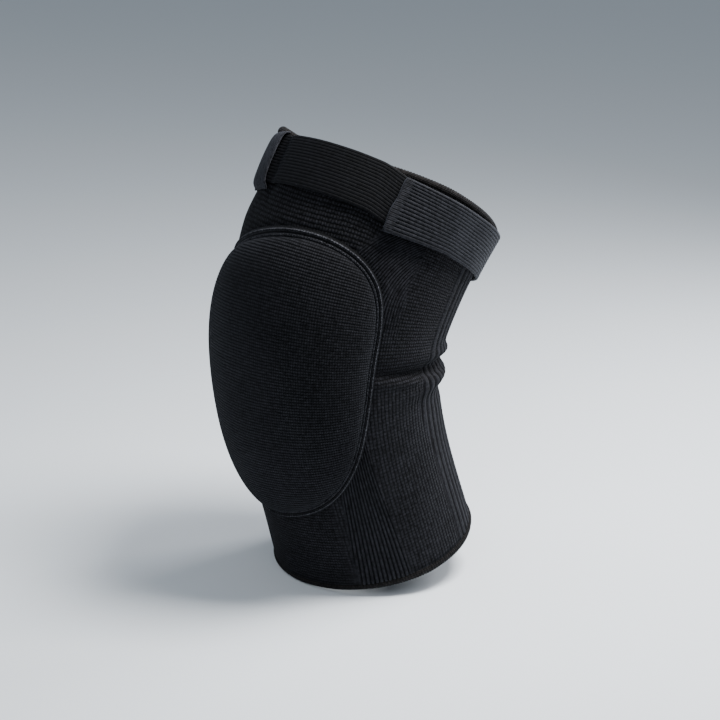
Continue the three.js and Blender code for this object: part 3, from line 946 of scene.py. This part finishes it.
def make_camera():
    right, up, back = camera_axes()
    aim = right * CAMERA_AIM[0] + up * CAMERA_AIM[1]
    data = bpy.data.cameras.new("camera")
    data.lens = CAMERA_LENS
    data.sensor_width = 36
    data.clip_end = 50
    camera = bpy.data.objects.new("camera", data)
    bpy.context.scene.collection.objects.link(camera)
    place = np.eye(4)
    place[:3, 0], place[:3, 1], place[:3, 2] = right, up, back
    place[:3, 3] = (aim + back * CAMERA_AWAY) * MM
    camera.matrix_world = Matrix(place)
    bpy.context.scene.camera = camera


def soft_light(name, towards, away, size, power, colour):
    """An area light facing the origin: towards is right, up and back of the camera's view."""
    axes = camera_axes()
    place = sum(axis * share for axis, share in zip(axes, towards))
    place = place / np.linalg.norm(place) * away
    data = bpy.data.lights.new(name, "AREA")
    data.shape = "SQUARE"
    data.size = size
    data.energy = power
    data.color = colour
    light = bpy.data.objects.new(name, data)
    light.location = place
    back = place / np.linalg.norm(place)
    side = np.cross((0, 0, 1), back)
    side /= np.linalg.norm(side)
    turn = np.eye(4)
    turn[:3, 0], turn[:3, 1], turn[:3, 2], turn[:3, 3] = side, np.cross(back, side), back, place
    light.matrix_world = Matrix(turn)
    bpy.context.scene.collection.objects.link(light)


def make_light():
    soft_light("key", (0.75, 1.5, 0.6), away=0.6, size=0.26, power=10.5, colour=(1.0, 0.99, 0.98))
    soft_light("side", (1.0, 0.75, -0.5), away=0.75, size=0.3, power=4.5, colour=(0.98, 0.98, 1.0))
    soft_light("left", (-1.0, 0.6, 0.1), away=2.0, size=1.2, power=8, colour=(0.9, 0.95, 1.0))
    soft_light("front", (-0.2, 0.4, 1.0), away=2.2, size=1.4, power=14, colour=(0.95, 0.97, 1.0))
    world = bpy.data.worlds.new("studio")
    world.use_nodes = True
    world.node_tree.nodes["Background"].inputs["Color"].default_value = (0.8, 0.9, 1.0, 1)
    world.node_tree.nodes["Background"].inputs["Strength"].default_value = 0.32
    bpy.context.scene.world = world


make_camera()
make_light()

# All cloths but the hem yarn are tinted slightly blue: a painted tint of the blue light round the
# object
knit = cloth(
    "black_knit", shade_colour=(0.0003, 0.0003, 0.0004), face=(0.0175, 0.0178, 0.0216),
    pale=(0.05, 0.05, 0.06), wale=2.25, course=1.8, lean=0.3, stitch_depth=0.6, sheen=0.012,
    roughness=0.92)
pad_cover = cloth(
    "pad_ribbed_cover", shade_colour=(0.0004, 0.0004, 0.0006), face=(0.0145, 0.0148, 0.0178),
    pale=(0.04, 0.042, 0.05), wale=1.7, course=PAD_RIB, lean=0.0, stitch_depth=0.35, sheen=0.03,
    roughness=0.9)
stitching = cloth(
    "seam_yarn", shade_colour=(0.0003, 0.0003, 0.0004), face=(0.085, 0.086, 0.098),
    pale=(0.12, 0.12, 0.13), wale=STITCH, course=0.8, lean=0.6, stitch_depth=0.25, sheen=0.04,
    roughness=0.85)
hem_yarn = cloth(
    "hem_yarn", shade_colour=(0.001, 0.0009, 0.0009), face=(0.023, 0.0205, 0.0195),
    pale=(0.09, 0.08, 0.07), wale=0.9, course=0.9, lean=0.5, stitch_depth=0.2, sheen=0.03,
    roughness=0.88)
# The same elastic is made twice: this darker copy on the front strap is painted shade, and the lighter
# copy on the tab is painted light
shaded_elastic = cloth(
    "elastic_shaded_copy", shade_colour=(0.0003, 0.0003, 0.0004), face=(0.0035, 0.0037, 0.0048),
    pale=(0.04, 0.04, 0.05), wale=1.7, course=1.6, lean=0.1, stitch_depth=0.1, sheen=0.02,
    roughness=0.75)
# The lighter copy of the elastic, painted light on the tab
lit_elastic = cloth(
    "elastic_lit_copy", shade_colour=(0.0003, 0.0003, 0.0004), face=(0.016, 0.0164, 0.02),
    pale=(0.05, 0.05, 0.06), wale=1.7, course=1.6, lean=0.1, stitch_depth=0.12, sheen=0.05,
    roughness=0.72)
tape = cloth(
    "keeper_tape", shade_colour=(0.004, 0.004, 0.005), face=(0.04, 0.0405, 0.049),
    pale=(0.05, 0.05, 0.06), wale=0.8, course=0.9, lean=0.3, stitch_depth=0.16, sheen=0.05,
    roughness=0.8)

sleeve = make_sleeve(knit)
make_padded_front(pad_cover)
seam = make_pad_seam(stitching)
top_edge = make_hem("top_rolled_edge", "top_hem", SLEEVE_LENGTH - HEM_HEIGHT / 2, RIM_WRAPS,
                    GATHER_HEIGHT, hem_yarn)
low_edge = make_hem("bottom_rolled_edge", "bottom_hem", HEM_HEIGHT / 2, LOW_WRAPS, 0.0, hem_yarn)
make_straps(shaded_elastic, lit_elastic)
make_keeper(tape)
plain_floor(cad_box[0][2] - FLOOR_GAP)
